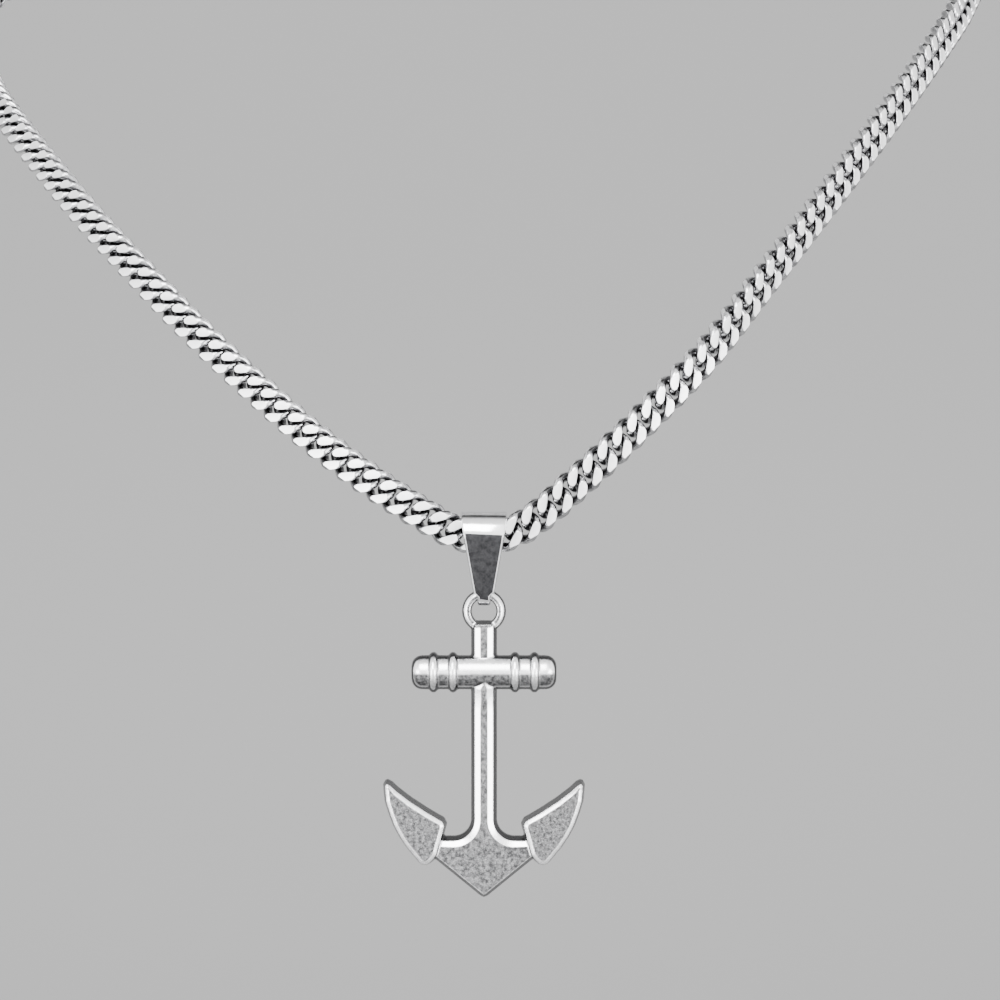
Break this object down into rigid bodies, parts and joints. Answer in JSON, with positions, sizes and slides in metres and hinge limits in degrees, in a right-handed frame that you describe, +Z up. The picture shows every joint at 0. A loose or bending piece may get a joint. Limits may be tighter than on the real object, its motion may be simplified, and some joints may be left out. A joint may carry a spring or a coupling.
{
  "type": "anchor pendant necklace",
  "caption": "Curb chain necklace worn as a full loop, with a tapered folded bail holding a cast anchor pendant that has a beaded stock, curved flukes and a pointed crown",
  "frame": {"origin": "the nape: the middle of the clasp, where the back of the loop lies on the neck", "axes": "+Z up, -Y towards the viewer of the pendant's front, +X to the viewer's right"},
  "size_m": [0.1666, 0.0895, 0.149],
  "materials": {
    "chain_steel": "bright ground",
    "clasp_steel": "polished",
    "bail_steel": "satin",
    "anchor_steel": "cast, bright edges"
  },
  "bodies": {
    "necklace": {"chain_left": "chain_steel", "chain_right": "chain_steel", "clasp": "clasp_steel"},
    "bail": {"bail": "bail_steel"},
    "anchor": {"anchor": "anchor_steel"}
  },
  "joints": [
    {"name": "bail_swing", "type": "hinge", "parent": "necklace", "child": "bail", "pos_m": [0, -0.084, -0.09585], "axis": [1, 0, 0], "range_deg": [-60, 20]},
    {"name": "anchor_swing", "type": "hinge", "parent": "bail", "child": "anchor", "pos_m": [0, -0.084, -0.10636], "axis": [0, 1, 0], "range_deg": [-40, 40]}
  ]
}
